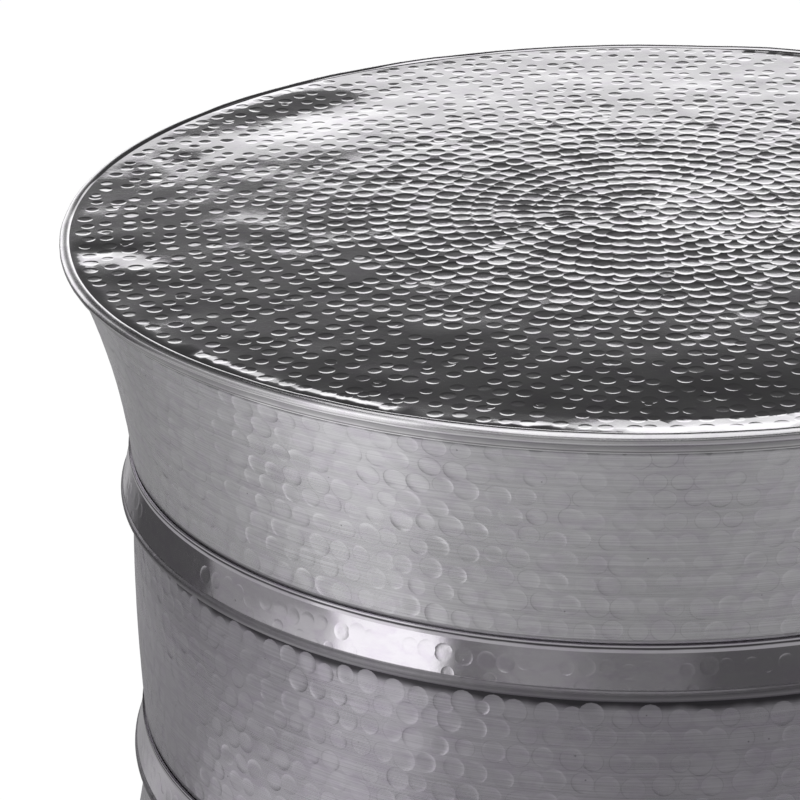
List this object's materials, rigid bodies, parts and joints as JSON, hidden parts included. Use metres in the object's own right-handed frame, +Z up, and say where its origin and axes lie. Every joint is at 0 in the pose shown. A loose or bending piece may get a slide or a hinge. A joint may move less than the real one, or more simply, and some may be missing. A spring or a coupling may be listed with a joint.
{
  "type": "round coffee table",
  "caption": "Round drum coffee table of hammered aluminium sheet, with a rolled rim, flared skirts and beaded rings round an upright waist.",
  "frame": {"origin": "on the floor under the middle of the table", "axes": "+Z up along the axis that the table is turned about, -Y towards the viewer of the picture"},
  "size_m": [0.6, 0.6, 0.42],
  "materials": {
    "polished_aluminium": "hammered and polished",
    "brushed_aluminium": "hammered and brushed, satin",
    "steel_bar": "drawn bar",
    "felt": "pressed felt"
  },
  "bodies": {
    "root": {"table_top": "polished_aluminium", "rim_hoop": "steel_bar", "upper_skirt": "brushed_aluminium", "upper_ring": "polished_aluminium", "waist": "brushed_aluminium", "lower_ring": "polished_aluminium", "base_skirt": "brushed_aluminium", "base_hoop": "steel_bar", "glide_front": "felt", "glide_right": "felt", "glide_back": "felt", "glide_left": "felt"}
  },
  "joints": []
}
